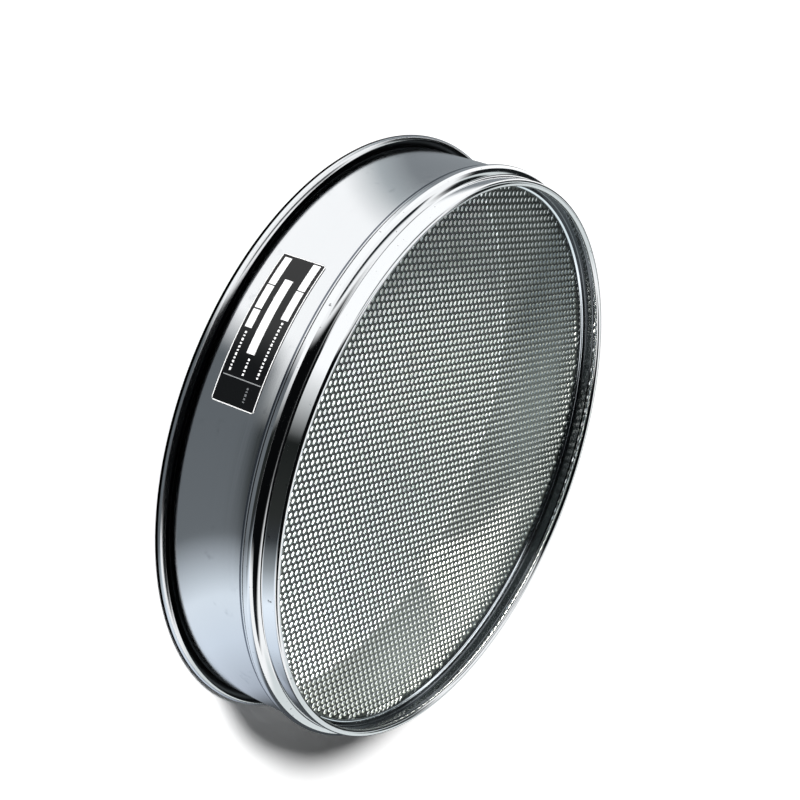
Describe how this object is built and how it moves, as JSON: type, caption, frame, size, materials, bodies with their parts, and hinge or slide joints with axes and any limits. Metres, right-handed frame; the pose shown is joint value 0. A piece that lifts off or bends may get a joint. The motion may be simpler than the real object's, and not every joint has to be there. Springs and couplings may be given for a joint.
{
  "type": "test sieve",
  "caption": "Round laboratory test sieve: sheet steel drum with a rolled mouth, a punched screening plate and a beaded skirt that nests into the next sieve.",
  "frame": {"origin": "centre of the rolled mouth's footprint, on the surface that the sieve stands on", "axes": "+Z along the drum's axis, out of the skirt that nests into the next sieve; -Y towards the side with the label"},
  "size_m": [0.2094, 0.2094, 0.045],
  "materials": {
    "drum_steel": "stainless sheet, fine drawn grain round the drum, satin",
    "skirt_steel": "stainless sheet, pressed and polished",
    "ring_steel": "stainless sheet, pressed, bright",
    "plate_steel": "punched stainless plate, dull satin",
    "label_film": "printed adhesive film, glossy"
  },
  "bodies": {
    "root": {"body_shell": "drum_steel", "skirt_ring": "skirt_steel", "retaining_ring": "ring_steel", "screen_plate": "plate_steel", "rating_label": "label_film"}
  },
  "joints": []
}
